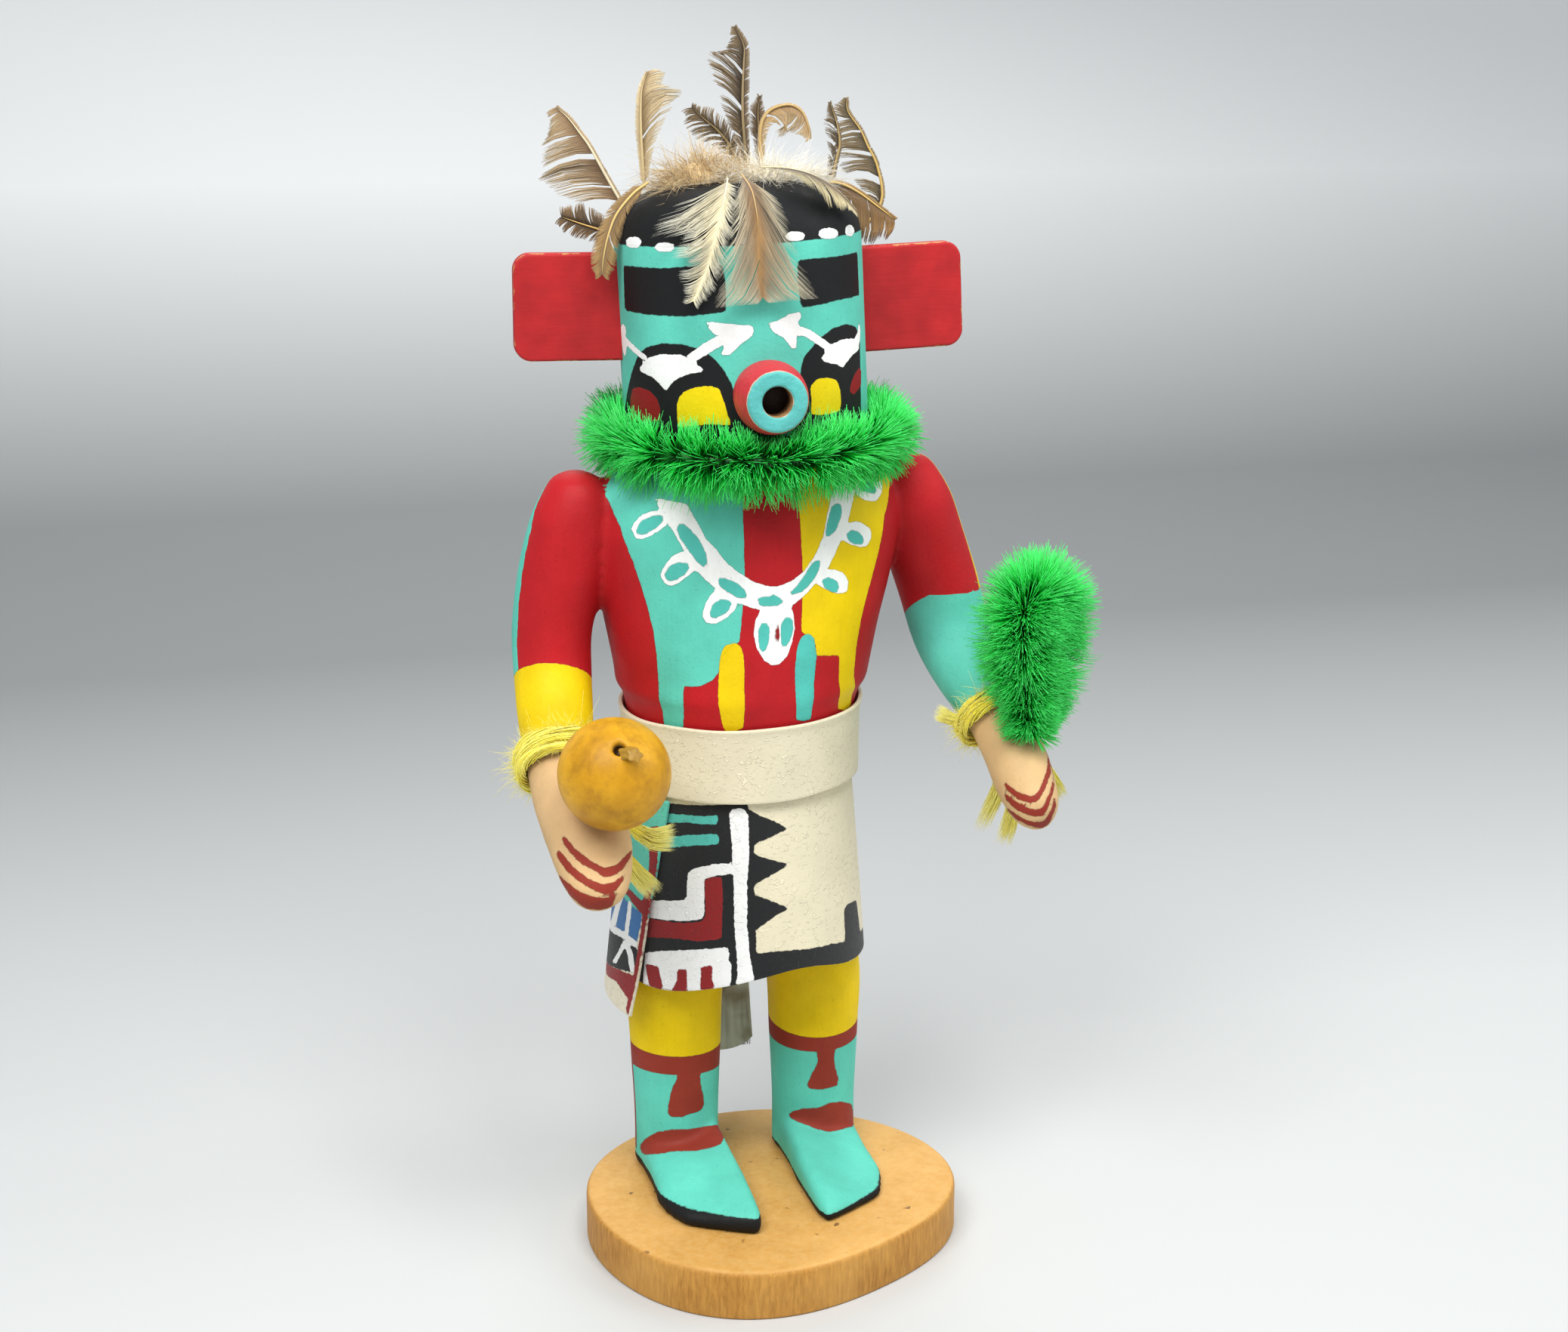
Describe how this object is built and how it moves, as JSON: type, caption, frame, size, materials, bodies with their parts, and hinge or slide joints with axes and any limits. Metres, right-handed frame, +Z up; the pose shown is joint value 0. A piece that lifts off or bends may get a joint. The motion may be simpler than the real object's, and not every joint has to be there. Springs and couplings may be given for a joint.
{
  "type": "kachina doll",
  "caption": "Carved and painted wooden kachina doll with a snouted mask, board ears, feather crest, green ruff, leather kilt, gourd and brush, standing on a wood slab.",
  "frame": {"origin": "on the slab's underside, beneath the figure's upright axis, which stands behind the slab's middle", "axes": "+Z up, -Y the way the body faces, +X to the right of someone facing the doll"},
  "size_m": [0.1455, 0.1079, 0.3066],
  "materials": {
    "slab_wood": "bare, sanded, end grain on the edge",
    "painted_wood": "matt hand-painted in red, turquoise, yellow, black and white",
    "ear_paint": "matt red paint, thin at the edges",
    "snout_paint": "satin red paint, turquoise end",
    "kilt_leather": "suede, hand-painted",
    "belt_leather": "bare suede",
    "panel_leather": "suede, hand-painted",
    "tail_fur": "short pelt",
    "gourd_skin": "dry gourd skin, satin",
    "yarn": "loose spun yarn",
    "green_brush": "stiff bristly chenille",
    "down": "soft down",
    "feather": "matt brown and cream feather"
  },
  "bodies": {
    "root": {"base_slab": "slab_wood", "figure": "painted_wood", "ear_board_a": "ear_paint", "ear_board_b": "ear_paint", "snout": "snout_paint", "kilt": "kilt_leather", "belt": "belt_leather", "hip_panel": "panel_leather", "tail": "tail_fur", "gourd": "gourd_skin", "wrist_yarn_a": "yarn", "wrist_yarn_b": "yarn", "neck_ruff": "green_brush", "hand_brush": "green_brush", "down_pad": "down", "feather_wing": "feather", "feather_stub": "feather", "feather_drape": "feather", "feather_upright": "feather", "feather_tall": "feather", "feather_tall_side": "feather", "feather_short": "feather", "feather_curled": "feather", "feather_spike": "feather", "feather_hook": "feather", "feather_folded": "feather", "feather_plume_right": "feather", "feather_plume_left": "feather", "feather_plume_centre": "feather"}
  },
  "joints": []
}
